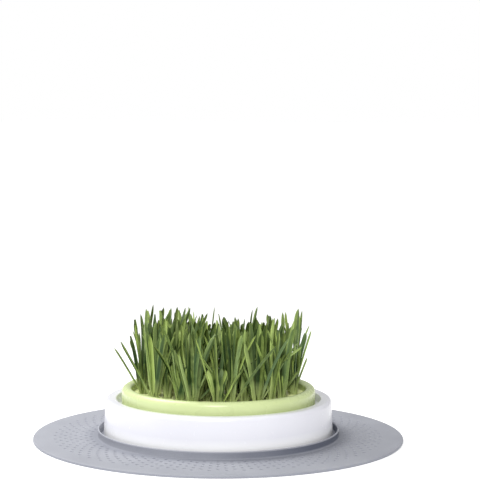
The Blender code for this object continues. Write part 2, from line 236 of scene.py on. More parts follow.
# One dimple in the middle of a cell that is drawn as a square of side 1, and 1 deep
bm = bmesh.new()
outline = []
for side in range(4):
    turn = Matrix.Rotation(math.pi / 2 * side, 3, "Z")
    for step in range(CELL_SIDE_STEPS):
        outline.append(bm.verts.new(turn @ Vector((0.5, step / CELL_SIDE_STEPS - 0.5, 0))))
rings = [outline]
for radius, depth in ((1, 0), (0.82, 0.5), (0.5, 0.9)):
    ring = []
    for number in range(len(outline)):
        angle = 2 * math.pi * number / len(outline) - math.pi / 4
        x = DIMPLE_RADIUS * radius * math.cos(angle) / CELL_WIDTH
        y = DIMPLE_RADIUS * radius * math.sin(angle) / DIMPLE_PITCH
        ring.append(bm.verts.new((x, y, -depth)))
    rings.append(ring)
rings.append([bm.verts.new((0, 0, -1))] * len(outline))
join_rings(bm, rings)
dimple_cell = new_object("dimple_cell", bm)

# The dimpled band: a flat sheet of cells, welded, then wrapped round the axis
tree, given = new_tree(
    "Dimples in rings",
    Dimple="Object",
    Around="Int",
    Rings="Int",
    First_Radius="Float",
    Ring_Pitch="Float",
    Depth="Float",
    Top="Float",
    Material="Material",
)
around_less_one = add(tree, "ShaderNodeMath", [given["Around"], 1.0], operation="SUBTRACT")
rings_less_one = add(tree, "ShaderNodeMath", [given["Rings"], 1.0], operation="SUBTRACT")
cells = add(
    tree, "GeometryNodeMeshGrid", [around_less_one, rings_less_one, given["Around"], given["Rings"]]
)
half_span = add(tree, "ShaderNodeCombineXYZ", [around_less_one, rings_less_one])
half_span = add(tree, "ShaderNodeVectorMath", [half_span, (0.5, 0.5, 0)], operation="MULTIPLY")
cells = add(tree, "GeometryNodeSetPosition", {"Geometry": cells, "Offset": half_span})
at = add(tree, "ShaderNodeSeparateXYZ", [add(tree, "GeometryNodeInputPosition")])
ring_number = add(tree, "ShaderNodeMath", [at.outputs["Y"]], operation="ROUND")
odd_ring = add(tree, "ShaderNodeMath", [ring_number, 2.0], operation="MODULO")
stagger = add(tree, "ShaderNodeMath", [odd_ring, 0.5], operation="MULTIPLY")
stagger = add(tree, "ShaderNodeCombineXYZ", [stagger])
cells = add(tree, "GeometryNodeSetPosition", {"Geometry": cells, "Offset": stagger})
dimple = add(tree, "GeometryNodeObjectInfo", [given["Dimple"]]).outputs["Geometry"]
sheet = add(tree, "GeometryNodeInstanceOnPoints", {"Points": cells, "Instance": dimple})
sheet = add(tree, "GeometryNodeRealizeInstances", [sheet])
sheet = add(tree, "GeometryNodeMergeByDistance", {"Geometry": sheet, "Distance": 0.02})
turn = add(tree, "ShaderNodeMath", [at.outputs["X"], 2 * math.pi], operation="MULTIPLY")
turn = add(tree, "ShaderNodeMath", [turn, given["Around"]], operation="DIVIDE")
outwards = add(tree, "ShaderNodeMath", [at.outputs["Y"], given["Ring Pitch"]], operation="MULTIPLY")
outwards = add(tree, "ShaderNodeMath", [outwards, given["First Radius"]], operation="ADD")
spoke = add(
    tree,
    "ShaderNodeCombineXYZ",
    [
        add(tree, "ShaderNodeMath", [turn], operation="COSINE"),
        add(tree, "ShaderNodeMath", [turn], operation="SINE"),
    ],
)
spoke = add(tree, "ShaderNodeVectorMath", [spoke, outwards], operation="SCALE")
shallower = add(tree, "ShaderNodeMapRange", [at.outputs["Y"], 0.0, rings_less_one, 1.0, 0.75])
sunk = add(tree, "ShaderNodeMath", [at.outputs["Z"], given["Depth"]], operation="MULTIPLY")
sunk = add(tree, "ShaderNodeMath", [sunk, shallower], operation="MULTIPLY")
height = add(tree, "ShaderNodeMath", [sunk, given["Top"]], operation="ADD")
height = add(tree, "ShaderNodeCombineXYZ", [0.0, 0.0, height])
wrapped = add(tree, "ShaderNodeVectorMath", [spoke, height], operation="ADD")
band = add(tree, "GeometryNodeSetPosition", {"Geometry": sheet, "Position": wrapped})
band = add(tree, "GeometryNodeJoinGeometry", [[band, given["Geometry"]]])
band = add(tree, "GeometryNodeMergeByDistance", {"Geometry": band, "Distance": 0.02 * MM})
end_tree(tree, band, given["Material"])
dimples_in_rings = tree

bm = bmesh.new()
rim_and_underside = [
    (BAND_OUTSIDE, MAT_TOP),
    (176, MAT_TOP),
    *arc((183.9, 1.4), 1.1, 90, 0, 6),
    (185, 0.35),
    (184.7, 0),
    (0, 0),
]
collar_and_floor = [
    (0, MAT_TOP),
    (107.9, MAT_TOP),
    (108.3, 2.9),
    *arc((108.8, 5), 0.5, 180, 90, 4),
    *arc((110, 5), 0.5, 90, 0, 4),
    (110.5, 2.9),
    (110.9, MAT_TOP),
    (118.4, MAT_TOP),
    (118.9, 3),
    *arc((120.2, 9.5), 0.9, 180, 0, 9),
    (120.75, 8.2),
    (120.6, 4.2),
    *arc((122.3, 4.2), 1.7, 180, 270, 6),
    (BAND_INSIDE, MAT_TOP),
]
turn_profile(bm, rim_and_underside, MAT_STEPS)
turn_profile(bm, collar_and_floor, MAT_STEPS)
mat = new_object("splash_mat_dimpled", bm)
run_tree(
    mat,
    dimples_in_rings,
    Dimple=dimple_cell,
    Around=DIMPLES_AROUND,
    Rings=DIMPLE_RINGS,
    First_Radius=(BAND_INSIDE + DIMPLE_PITCH / 2) * MM,
    Ring_Pitch=DIMPLE_PITCH * MM,
    Depth=DIMPLE_DEPTH * MM,
    Top=MAT_TOP * MM,
    Material=mat_rubber,
)
keep_result(mat)
bpy.data.objects.remove(dimple_cell)
close_and_shade(mat.data)
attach(mat, "root")
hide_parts("splash_mat")

# Bowl. One injection moulding in glossy white plastic: an outer skirt that leans in a little, a rounded
# shoulder, a narrow groove that takes the cover, and the well that holds the growing medium. It stands
# loose in the collar of the mat. Its front is plain.
BOWL_STEPS = 208

bowl_profile = [
    (0, 8.4),
    *arc((87, 11.4), 3, 270, 360, 5),
    (90.6, 37.8),
    *arc((91.8, 37.8), 1.2, 180, 0, 9),
    *arc((93.8, 32.6), 0.8, 180, 270, 4),
    *arc((101.4, 32.6), 0.8, 270, 360, 4),
    *arc((103.4, 39.6), 1.2, 180, 90, 5),
    *arc((109.2, 36.8), 4, 90, 0, 10),
    (113.75, 26),
    (114.35, 15),
    *arc((114.35, 3.45), 0.65, 0, -90, 4),
    (112.6, 2.8),
    (110.8, 36.4),
    *arc((108.8, 36.4), 2, 0, 90, 4),
    (104.6, 38.4),
    (104.6, 29.4),
    (93, 29.4),
    (92.4, 9),
    *arc((88.2, 9.4), 3.4, -20, -90, 4),
    (0, 6),
]
bm = bmesh.new()
turn_profile(bm, bowl_profile, BOWL_STEPS)
bowl = new_object("bowl_moulded", bm)
close_and_shade(bowl.data)

# Moulded ABS, polished mould: a clean cool white with a clear gloss, painted whiter near the foot as
# painted light against the shade there. The gloss is a little uneven, with slow ripples about 14 mm
# long that bend its reflections, and faint dust dulls it in specks.
bowl_plastic, tree, shader, place = new_material("polished_white_abs")
_, white = clouded_colour(tree, place, 55 * MM, 3.0, "#E6E6EE", "#EAEAF1")
height = add(tree, "ShaderNodeSeparateXYZ", [place]).outputs["Z"]
# Painted light: the colour turns whiter towards the foot, where shade beside the collar falls
near_foot = add(tree, "ShaderNodeMapRange", [height, 9 * MM, 20 * MM, 1.0, 0.0])
white = add(tree, "ShaderNodeMix", [near_foot, white, linear("#FFFFFF")], data_type="RGBA")
dust = add(tree, "ShaderNodeTexNoise", {"Vector": place, "Scale": 1 / (2.4 * MM), "Detail": 5.0})
gloss = add(tree, "ShaderNodeMapRange", [dust, 0.55, 0.8, 0.2, 0.34])
ripples = add(tree, "ShaderNodeTexNoise", {"Vector": place, "Scale": 1 / (14 * MM), "Detail": 1.0})
bump = add(tree, "ShaderNodeBump", {"Height": ripples, "Strength": 0.12, "Distance": 0.3 * MM})
set_inputs(shader, {"Base Color": white, "Roughness": gloss, "Normal": bump, "IOR": 1.53})
bowl.data.materials.append(bowl_plastic)
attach(bowl, "root")
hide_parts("bowl")

# Growing medium. A cake of moist vermiculite grains pressed into the well, with a plain hole for each
# tuft. Its surface is uneven and covered with loose grains.
GRASS_SEED = 777
GRID_PITCH = 12.5 * MM
TUFT_COUNT = 52
TUFT_REACH = 79.5 * MM
TUFT_JITTER = 1.1 * MM
HOLE_RADIUS = 4.2 * MM
HOLE_FLOOR = 24 * MM
MEDIUM_TOP = 38.6
CRUMB_SPACING = 2 * MM


def grid_cells(reach):
    """Middles of the cover's square openings within reach of the axis."""
    count = int(reach / GRID_PITCH)
    cells = []
    for row in range(-count, count + 1):
        for column in range(-count, count + 1):
            cell = (column * GRID_PITCH, row * GRID_PITCH)
            if math.hypot(*cell) <= reach:
                cells.append(cell)
    return cells


def tuft_places():
    """Every second opening, as on a chessboard, less a few that stand apart, a little off centre."""
    draw = random.Random(GRASS_SEED)
    cells = [cell for cell in grid_cells(TUFT_REACH) if round(sum(cell) / GRID_PITCH) % 2 == 0]
    bare = []
    for cell in draw.sample(cells, len(cells)):
        is_apart = all(math.dist(cell, other) > 1.5 * GRID_PITCH for other in bare)
        if is_apart and len(bare) < len(cells) - TUFT_COUNT:
            bare.append(cell)
    taken = sorted((cell for cell in cells if cell not in bare), key=lambda cell: (-cell[1], cell[0]))
    return [tuple(part + draw.uniform(-TUFT_JITTER, TUFT_JITTER) for part in cell) for cell in taken]


def add_prism(bm, outline, heights):
    """A closed upright solid. Each height in metres has its own closed outline of (x, y) places."""
    rings = [[bm.verts.new((x, y, z)) for x, y in ring] for ring, z in zip(outline, heights)]
    join_rings(bm, rings)
    bm.faces.new(rings[0][::-1])
    bm.faces.new(rings[-1])


# Expanded vermiculite: straw-coloured flakes with paler ones among them, olive where they are wet
vermiculite, tree, shader, place = new_material("moist_expanded_vermiculite")
crumb = add(tree, "ShaderNodeAttribute", attribute_name="crumb_tone").outputs["Fac"]
layers = add(tree, "ShaderNodeTexNoise", {"Vector": place, "Scale": 1 / (1.6 * MM), "Detail": 6.0})
tan = add(tree, "ShaderNodeMix", [layers, linear("#857A3C"), linear("#C6BA70")], data_type="RGBA")
paler = add(tree, "ShaderNodeMapRange", [crumb, 0.6, 1.0, 0.0, 0.8])
flakes = add(tree, "ShaderNodeMix", [paler, tan, linear("#E2DBA4")], data_type="RGBA")
damp = add(tree, "ShaderNodeMapRange", [layers, 0.3, 0.7, 0.6, 0.9])
bump = add(tree, "ShaderNodeBump", {"Height": layers, "Strength": 0.8, "Distance": 0.5 * MM})
set_inputs(shader, {"Base Color": flakes, "Roughness": damp, "Normal": bump})

# The cake's top is made uneven, then crumbs are strewn on it at least their spacing apart
tree, given = new_tree(
    "Strewn grains", Unevenness="Float", Spacing="Float", Top="Float", Seed="Int", Material="Material"
)
at = add(tree, "GeometryNodeInputPosition")
height = add(tree, "ShaderNodeSeparateXYZ", [at]).outputs["Z"]
near_top = add(tree, "ShaderNodeMath", [given["Top"], 0.4 * MM], operation="SUBTRACT")
on_top = add(tree, "FunctionNodeCompare", [height, near_top], operation="GREATER_THAN")
lumps = add(tree, "ShaderNodeTexNoise", {"Vector": at, "Scale": 1 / (9 * MM), "Detail": 2.0})
lift = add(tree, "ShaderNodeMath", [lumps, 0.75], operation="SUBTRACT")
lift = add(tree, "ShaderNodeMath", [lift, given["Unevenness"]], operation="MULTIPLY")
lift = add(tree, "ShaderNodeCombineXYZ", [0.0, 0.0, lift])
cake = add(
    tree,
    "GeometryNodeSetPosition",
    {"Geometry": given["Geometry"], "Selection": on_top, "Offset": lift},
)
facing = add(tree, "ShaderNodeSeparateXYZ", [add(tree, "GeometryNodeInputNormal")]).outputs["Z"]
faces_up = add(tree, "FunctionNodeCompare", [facing, 0.7], operation="GREATER_THAN")
below_top = add(tree, "ShaderNodeMath", [given["Top"], 3 * MM], operation="SUBTRACT")
is_high = add(tree, "FunctionNodeCompare", [height, below_top], operation="GREATER_THAN")
open_top = add(tree, "FunctionNodeBooleanMath", [faces_up, is_high], operation="AND")
spots = add(
    tree,
    "GeometryNodeDistributePointsOnFaces",
    {
        "Mesh": cake,
        "Selection": open_top,
        "Distance Min": given["Spacing"],
        "Density Max": 400000.0,
        "Seed": given["Seed"],
    },
    distribute_method="POISSON",
)
grain = add(tree, "GeometryNodeMeshIcoSphere", [0.5, 1])
any_turn = add(
    tree,
    "FunctionNodeRandomValue",
    [(0.0, 0.0, 0.0), (6.28, 6.28, 6.28), 0, given["Seed"]],
    data_type="FLOAT_VECTOR",
)
any_size = add(
    tree,
    "FunctionNodeRandomValue",
    [(1.3 * MM, 0.9 * MM, 0.8 * MM), (3.6 * MM, 2.4 * MM, 1.8 * MM), 1, given["Seed"]],
    data_type="FLOAT_VECTOR",
)
crumbs = add(
    tree,
    "GeometryNodeInstanceOnPoints",
    {"Points": spots, "Instance": grain, "Rotation": any_turn, "Scale": any_size},
)
tone = add(tree, "FunctionNodeRandomValue", [0.0, 1.0, 2, given["Seed"]], data_type="FLOAT")
crumbs = add(
    tree,
    "GeometryNodeStoreNamedAttribute",
    {"Geometry": crumbs, "Name": "crumb_tone", "Value": tone},
    data_type="FLOAT",
    domain="INSTANCE",
)
end_tree(tree, add(tree, "GeometryNodeJoinGeometry", [[cake, crumbs]]), given["Material"])
strewn_grains = tree

bm = bmesh.new()
top_rings = [(radius, MEDIUM_TOP) for radius in range(0, 90, 3)]
cake_profile = [*top_rings, (90.3, MEDIUM_TOP), *arc((86.7, 11.7), 3, 0, -90, 4), (0, 8.7)]
turn_profile(bm, cake_profile, 96)
medium = new_object("growing_medium_grains", bm)
close_and_shade(medium.data)
bm = bmesh.new()
for x, y in tuft_places():
    angles = [2 * math.pi * number / 12 for number in range(12)]
    circle = [(x + HOLE_RADIUS * math.cos(a), y + HOLE_RADIUS * math.sin(a)) for a in angles]
    add_prism(bm, [circle, circle], [HOLE_FLOOR, (MEDIUM_TOP + 3) * MM])
holes = new_object("tuft_holes", bm)
cut = medium.modifiers.new("Tuft holes", "BOOLEAN")
cut.object = holes
cut.operation = "DIFFERENCE"
cut.solver = "MANIFOLD"
run_tree(
    medium,
    strewn_grains,
    Unevenness=2.2 * MM,
    Spacing=CRUMB_SPACING,
    Top=MEDIUM_TOP * MM,
    Seed=GRASS_SEED,
    Material=vermiculite,
)
keep_result(medium)
bpy.data.objects.remove(holes)
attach(medium, "root")
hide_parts("growing_medium")

# Cover. One injection moulding in glossy lime plastic: a rounded rim that drops into the bowl's groove,
# a short inner collar, and a square grid of bars under it that the grass grows up through. The
# openings have rounded corners and the bars rounded upper edges.
COVER_STEPS = 208
GRID_TOP = 44.2 * MM
GRID_THICKNESS = 2.6 * MM
GRID_BAR = 2.4 * MM
GRID_REACH = 83.8 * MM
GRID_LIMIT = 86.2 * MM
PLATE_RADIUS = 87.85 * MM
OPENING_CORNER = 0.9 * MM

# Moulded polypropylene, coloured through: a pale glossy lime, soft in its highlights. Painted light
# makes the grid's thin bars, which let light through, paler than the rim, and painted shade makes its
# inner wall, in the leaves' shade, a deeper green. The gloss is clouded from handling.
cover_plastic, tree, shader, place = new_material("glossy_lime_polypropylene")
_, lime = clouded_colour(tree, place, 45 * MM, 3.0, "#CBD89C", "#D1DEA3")
level = add(tree, "ShaderNodeVectorMath", [place, (1, 1, 0)], operation="MULTIPLY")
from_axis = add(tree, "ShaderNodeVectorMath", [level], operation="LENGTH").outputs["Value"]
height = add(tree, "ShaderNodeSeparateXYZ", [place]).outputs["Z"]
is_low = add(tree, "ShaderNodeMapRange", [height, 44.6 * MM, 46 * MM, 1.0, 0.0])
is_inside = add(tree, "ShaderNodeMapRange", [from_axis, 86 * MM, 87 * MM, 1.0, 0.0])
# Painted shade: the rim's inner wall below its crest is mixed to a deeper green
below_crest = add(tree, "ShaderNodeMapRange", [height, 48.5 * MM, 51 * MM, 0.6, 0.0])
inner_wall = add(tree, "ShaderNodeMapRange", [from_axis, 87.6 * MM, 88.4 * MM, 1.0, 0.0])
inner_wall = add(tree, "ShaderNodeMath", [inner_wall, below_crest], operation="MULTIPLY")
lime = add(tree, "ShaderNodeMix", [inner_wall, lime, linear("#94A64C")], data_type="RGBA")
# Painted light: the grid's bars are mixed paler
in_grid = add(tree, "ShaderNodeMath", [is_low, is_inside], operation="MULTIPLY")
lime = add(tree, "ShaderNodeMix", [in_grid, lime, linear("#F3FAB4")], data_type="RGBA")
handled = add(tree, "ShaderNodeTexNoise", {"Vector": place, "Scale": 1 / (18 * MM), "Detail": 2.0})
gloss = add(tree, "ShaderNodeMapRange", [handled, 0.25, 0.75, 0.25, 0.31])
ripples = add(tree, "ShaderNodeTexNoise", {"Vector": place, "Scale": 1 / (11 * MM), "Detail": 1.0})
bump = add(tree, "ShaderNodeBump", {"Height": ripples, "Strength": 0.12, "Distance": 0.25 * MM})
set_inputs(shader, {"Base Color": lime, "Roughness": gloss, "Normal": bump, "IOR": 1.49})

# What is cut away for one opening: a square with round corners that flares over the bars' upper edges
half = (GRID_PITCH - GRID_BAR) / 2
flare = [(0, -4), (0, -0.65), (0.05, -0.4), (0.19, -0.19), (0.4, -0.05), (0.65, 0.02), (0.65, 3)]
bm = bmesh.new()
outlines = []
for grow, above in flare:
    outline = []
    for corner in range(4):
        for step in range(4):
            angle = math.pi / 2 * corner + math.pi / 6 * step
            towards = Vector((math.cos(angle), math.sin(angle)))
            signs = Vector((1 if corner in (0, 3) else -1, 1 if corner in (0, 1) else -1))
            outline.append(signs * (half - OPENING_CORNER) + towards * (OPENING_CORNER + grow * MM))
    outlines.append(outline)
add_prism(bm, outlines, [GRID_TOP + above * MM for grow, above in flare])
opening = new_object("opening", bm)

tree, given = new_tree(
    "Grid of openings",
    Opening="Object",
    Pitch="Float",
    Reach="Float",
    Limit="Float",
    Plate_Radius="Float",
    Plate_Top="Float",
    Plate_Thickness="Float",
    Material="Material",
)
across = add(tree, "ShaderNodeMath", [given["Pitch"], 14.0], operation="MULTIPLY")
cells = add(tree, "GeometryNodeMeshGrid", [across, across, 15, 15])
at = add(tree, "GeometryNodeInputPosition")
from_axis = add(tree, "ShaderNodeVectorMath", [at], operation="LENGTH").outputs["Value"]
too_far = add(tree, "FunctionNodeCompare", [from_axis, given["Reach"]], operation="GREATER_THAN")
cells = add(
    tree, "GeometryNodeDeleteGeometry", {"Geometry": cells, "Selection": too_far}, domain="POINT"
)
square = add(tree, "GeometryNodeObjectInfo", [given["Opening"]]).outputs["Geometry"]
squares = add(tree, "GeometryNodeInstanceOnPoints", {"Points": cells, "Instance": square})
squares = add(tree, "GeometryNodeRealizeInstances", [squares])
middle = add(tree, "ShaderNodeCombineXYZ", [0.0, 0.0, given["Plate Top"]])
limit = add(
    tree,
    "GeometryNodeMeshCylinder",
    {"Vertices": COVER_STEPS, "Radius": given["Limit"], "Depth": 20 * MM},
)
limit = add(tree, "GeometryNodeTransform", {"Geometry": limit, "Translation": middle})
squares = add(
    tree, "GeometryNodeMeshBoolean", [[squares, limit]], operation="INTERSECT", solver="MANIFOLD"
)
plate = add(
    tree,
    "GeometryNodeMeshCylinder",
    {"Vertices": COVER_STEPS, "Radius": given["Plate Radius"], "Depth": given["Plate Thickness"]},
)
half_down = add(tree, "ShaderNodeMath", [given["Plate Thickness"], -0.5], operation="MULTIPLY")
half_down = add(tree, "ShaderNodeMath", [given["Plate Top"], half_down], operation="ADD")
middle = add(tree, "ShaderNodeCombineXYZ", [0.0, 0.0, half_down])
plate = add(tree, "GeometryNodeTransform", {"Geometry": plate, "Translation": middle})
whole = add(
    tree, "GeometryNodeMeshBoolean", [[given["Geometry"], plate]], operation="UNION", solver="MANIFOLD"
)
whole = add(
    tree,
    "GeometryNodeMeshBoolean",
    {"Mesh 1": whole, "Mesh 2": squares},
    operation="DIFFERENCE",
    solver="MANIFOLD",
)
end_tree(tree, whole, given["Material"])
grid_of_openings = tree

rim_profile = [
    *arc((91.8, 47.1), 5.1, 90, 0, 12),
    (96.9, 32.6),
    (96.5, 32.1),
    (95.2, 32.1),
    (94.8, 32.5),
    *arc((91.8, 47.1), 3, 0, 90, 5),
    (89.9, 49.2),
    (88.9, 47.3),
    (88.9, 41.1),
    (86.8, 41.1),
    (86.8, 48.8),
    (87.0, 49.8),
    (87.7, 50.8),
    (88.9, 51.6),
    (90.3, 52.05),
    (91.8, 52.2),
]
bm = bmesh.new()
turn_profile(bm, rim_profile, COVER_STEPS)
cover = new_object("cover_grid", bm)
close_and_shade(cover.data)
run_tree(
    cover,
    grid_of_openings,
    Opening=opening,
    Pitch=GRID_PITCH,
    Reach=GRID_REACH,
    Limit=GRID_LIMIT,
    Plate_Radius=PLATE_RADIUS,
    Plate_Top=GRID_TOP,
    Plate_Thickness=GRID_THICKNESS,
    Material=cover_plastic,
)
keep_result(cover)
bpy.data.objects.remove(opening)
close_and_shade(cover.data)
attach(cover, "root")
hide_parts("cover")

# Young wheatgrass, one piece for each tuft. Seedlings stand shoulder to shoulder in one opening of the
# grid. Each rises as a rolled pale sheath and opens into a narrow folded blade, which leans out of the
# bundle and bends a little. The blades grow by the same seeded rule as the solids that they replace.
CROWN_SIDES = 6
CROWN_RADIUS = 3.5 * MM
CROWN_TOP_RADIUS = 3.2 * MM
CROWN_TOP = 47 * MM
SHORT_TUFTS = 0.16
SHORT_VIGOUR = (0.45, 0.62)
TALL_VIGOUR = (0.86, 1)
MIDDLE_GROWTH = 0.87
ROOT_HEIGHT = 43 * MM
ROOT_RING = 1.8 * MM
MIDDLE_BLADE = 0.15
BLADES_PER_TUFT = (6, 8)
BLADE_LENGTH = 96 * MM
LENGTH_SHARES = (0.6, 1, 0.95)
BLADE_WIDTH = (4.2 * MM, 6 * MM)
ROOT_WIDTH = 0.38
FULL_WIDTH_AT = 0.4
POINT_LENGTH = 0.22
KEEL = 0.3
BLADE_CUTS = (0, 0.34, 0.82)
SPINE_STEPS = 24
CLEARANCE = 0.5 * MM
STRAY = 0.4
LEAST_LEAN = 3
MORE_LEAN = 16
BENDS = (2, 5, 9, 15, 26)
BEND_SPREAD = (0.7, 1.2)
TWIST = 0.8
TRIES = 70
STRAIGHTER = 0.6
SHORTER = 0.3
STRAIGHTER_BY_RIM = 0.6
COVER_INNER_RADIUS = 86.8 * MM
COVER_CREST = 52.2 * MM
BLADE_FOOT = (0, 2, 1)
LOWER_WALLS = ((0, 1, 4, 3), (1, 2, 5, 4), (2, 0, 3, 5))
UPPER_WALLS = ((0, 1, 4), (0, 4, 3), (1, 2, 4), (2, 5, 4), (2, 0, 5), (0, 3, 5))
BLADE_POINT = ((0, 1, 3), (1, 2, 3), (2, 0, 3))


def draw_blade(draw, place, vigour, fan, from_middle, attempt):
    """The numbers of one blade. Each new attempt is a little straighter and shorter than the last."""
    azimuth = fan + draw.uniform(-STRAY, STRAY)
    outward = math.atan2(place[1], place[0])
    near_rim = math.hypot(*place) / TUFT_REACH
    facing_rim = near_rim * max(0, math.cos(azimuth - outward))
    again = attempt / TRIES
    ease = (1 - STRAIGHTER * again) * (1 - STRAIGHTER_BY_RIM * facing_rim)
    ring = ROOT_RING * from_middle
    return {
        "root": (place[0] + ring * math.cos(fan), place[1] + ring * math.sin(fan)),
        "azimuth": azimuth,
        "lean": math.radians(LEAST_LEAN + MORE_LEAN * draw.random() ** 2) * from_middle * ease,
        "bend": math.radians(draw.choice(BENDS) * draw.uniform(*BEND_SPREAD)) * ease,
        "turn": draw.uniform(-math.pi / 2, math.pi / 2),
        "twist": draw.uniform(-TWIST, TWIST),
        "length": BLADE_LENGTH * vigour * draw.triangular(*LENGTH_SHARES) * (1 - SHORTER * again),
        "width": draw.uniform(*BLADE_WIDTH),
    }


def blade_width(share):
    """Width of a solid blade as a share of its widest: narrow sheath, long leaf, drawn-out point."""
    sheath = ROOT_WIDTH + (1 - ROOT_WIDTH) * min(1, share / FULL_WIDTH_AT) ** 0.8
    point = min(1, (1 - share) / POINT_LENGTH) ** 0.62
    return sheath * point


def blade_spine(blade):
    """Points and headings along the middle of a blade, which leans and then bends over."""
    plane = Vector((math.cos(blade["azimuth"]), math.sin(blade["azimuth"]), 0))
    points = [Vector((*blade["root"], ROOT_HEIGHT))]
    headings = []
    for step in range(SPINE_STEPS + 1):
        angle = blade["lean"] + blade["bend"] * (step / SPINE_STEPS) ** 1.7
        headings.append(plane * math.sin(angle) + Vector((0, 0, math.cos(angle))))
        points.append(points[-1] + headings[-1] * blade["length"] / SPINE_STEPS)
    return points, headings


def facing_of(blade, heading, share):
    """A blade's sideways direction and the direction of its back at a share of its length."""
    across = Vector((-math.sin(blade["azimuth"]), math.cos(blade["azimuth"]), 0))
    normal = heading.cross(across)
    angle = blade["turn"] + blade["twist"] * max(share, BLADE_CUTS[1])
    side = across * math.cos(angle) + normal * math.sin(angle)
    back = normal * math.cos(angle) - across * math.sin(angle)
    return side, back


def blade_corners(blade, fatter=0.0):
    """Left edge, right edge and keel of the solid blade at each cut, and the tip last."""
    points, headings = blade_spine(blade)
    corners = []
    for cut in BLADE_CUTS:
        step = int(cut * SPINE_STEPS)
        middle = points[step].lerp(points[step + 1], cut * SPINE_STEPS - step)
        heading = headings[int(max(cut, BLADE_CUTS[1]) * SPINE_STEPS)]
        side, back = facing_of(blade, heading, cut)
        width = blade["width"] * blade_width(cut)
        half = side * (width / 2 + fatter)
        front = middle - back * (fatter * 0.8)
        corners += [front - half, front + half, middle + back * (width * KEEL + fatter)]
    corners.append(points[SPINE_STEPS] + headings[-1] * fatter)
    return corners


def tree_of(corners):
    """A search tree of a solid blade's faces: its foot, its walls and its point."""
    faces = [BLADE_FOOT, *LOWER_WALLS]
    last = len(BLADE_CUTS) - 1
    for ring in range(1, last):
        faces += [tuple(3 * ring + corner for corner in face) for face in UPPER_WALLS]
    faces += [tuple(3 * last + corner for corner in face) for face in BLADE_POINT]
    return BVHTree.FromPolygons(corners, faces)


def above_crown(corners):
    """The same blade cut off where it leaves the bundle of sheaths."""
    lifted = []
    for low, high in zip(corners[:3], corners[3:6]):
        share = (CROWN_TOP + 0.2 * MM - low.z) / (high.z - low.z)
        lifted.append(low.lerp(high, share))
    return lifted + corners[3:]


def crown_tree(place):
    """A search tree of the bundle of sheaths at a tuft's foot, with its clearance."""
    bm = bmesh.new()
    made = bmesh.ops.create_cone(
        bm,
        cap_ends=True,
        segments=CROWN_SIDES,
        radius1=CROWN_RADIUS + CLEARANCE,
        radius2=CROWN_TOP_RADIUS + CLEARANCE,
        depth=CROWN_TOP + CLEARANCE - HOLE_FLOOR,
    )
    for vertex in made["verts"]:
        x, y, z = vertex.co
        vertex.co = (y + place[0], -x + place[1], z + (CROWN_TOP + CLEARANCE + HOLE_FLOOR) / 2)
    tree = BVHTree.FromBMesh(bm)
    bm.free()
    return tree


def clears_cover(corners):
    """True where a blade's lower half stays inside the cover's rim."""
    limit = COVER_INNER_RADIUS - 1 * MM
    for low, high in zip(corners[:3], corners[3:6]):
        share = (COVER_CREST + 2 * MM - low.z) / (high.z - low.z)
        beside_rim = low.lerp(high, min(1, share))
        if math.hypot(beside_rim.x, beside_rim.y) > limit:
            return False
    return True


def grow_tufts():
    """A place and its blades for each tuft. A blade that would meet another is drawn again."""
    places = tuft_places()
    crowns = [crown_tree(place) for place in places]
    tufts = []
    grown_trees = []
    for index, place in enumerate(places):
        draw = random.Random(GRASS_SEED * 1000 + index)
        is_short = draw.random() < SHORT_TUFTS
        vigour = draw.uniform(*(SHORT_VIGOUR if is_short else TALL_VIGOUR))
        vigour *= MIDDLE_GROWTH + (1 - MIDDLE_GROWTH) * abs(place[0]) / TUFT_REACH
        ring_count = draw.randint(*BLADES_PER_TUFT) - 1
        others = grown_trees + crowns[:index] + crowns[index + 1 :]
        blades = []
        own_trees = []
        for number in range(ring_count + 1):
            fan = 2 * math.pi * number / ring_count
            from_middle = 1 if number < ring_count else MIDDLE_BLADE
            for attempt in range(TRIES):
                blade = draw_blade(draw, place, vigour, fan, from_middle, attempt)
                corners = blade_corners(blade)
                fat = blade_corners(blade, CLEARANCE)
                free_tree = tree_of(above_crown(corners))
                if not clears_cover(fat) or any(free_tree.overlap(tree) for tree in own_trees):
                    continue
                fat_tree = tree_of(fat)
                if any(fat_tree.overlap(tree) for tree in others):
                    continue
                blade["spread"] = Vector((math.cos(fan), math.sin(fan), 0)) * from_middle
                blades.append(blade)
                own_trees.append(free_tree)
                break
        grown_trees += [tree_of(blade_corners(blade)) for blade in blades]
        tufts.append((place, blades))
    return tufts


def smooth_step(low, high, value):
    share = min(1, max(0, (value - low) / (high - low)))
    return share * share * (3 - 2 * share)


# Living leaf: satin green with fine lengthwise veins, a paler midrib, a painted highlight along the
# margin and a greyer back. One half of a leaf carries painted shade, darker than the other half, which
# its fold turns to the light. The sheath is pale lime where the bundle shades it, the tip a little
# yellower, and a few leaves carry a faint blue-grey bloom. Real veins are 0.3 mm apart, drawn as about
# 0.8 mm so that they show.
leaf, tree, shader, place = new_material("young_wheat_leaf")
across, along, tone, bloom, face_side = (
    add(tree, "ShaderNodeAttribute", attribute_name=name).outputs["Fac"]
    for name in ("across", "along", "tone", "bloom", "face_side")
)
mottle = add(tree, "ShaderNodeTexNoise", {"Vector": place, "Scale": 1 / (7 * MM), "Detail": 3.0})
shade = add(tree, "ShaderNodeMath", [mottle, 0.5], operation="SUBTRACT")
shade = add(tree, "ShaderNodeMath", [shade, 0.7, tone], operation="MULTIPLY_ADD")
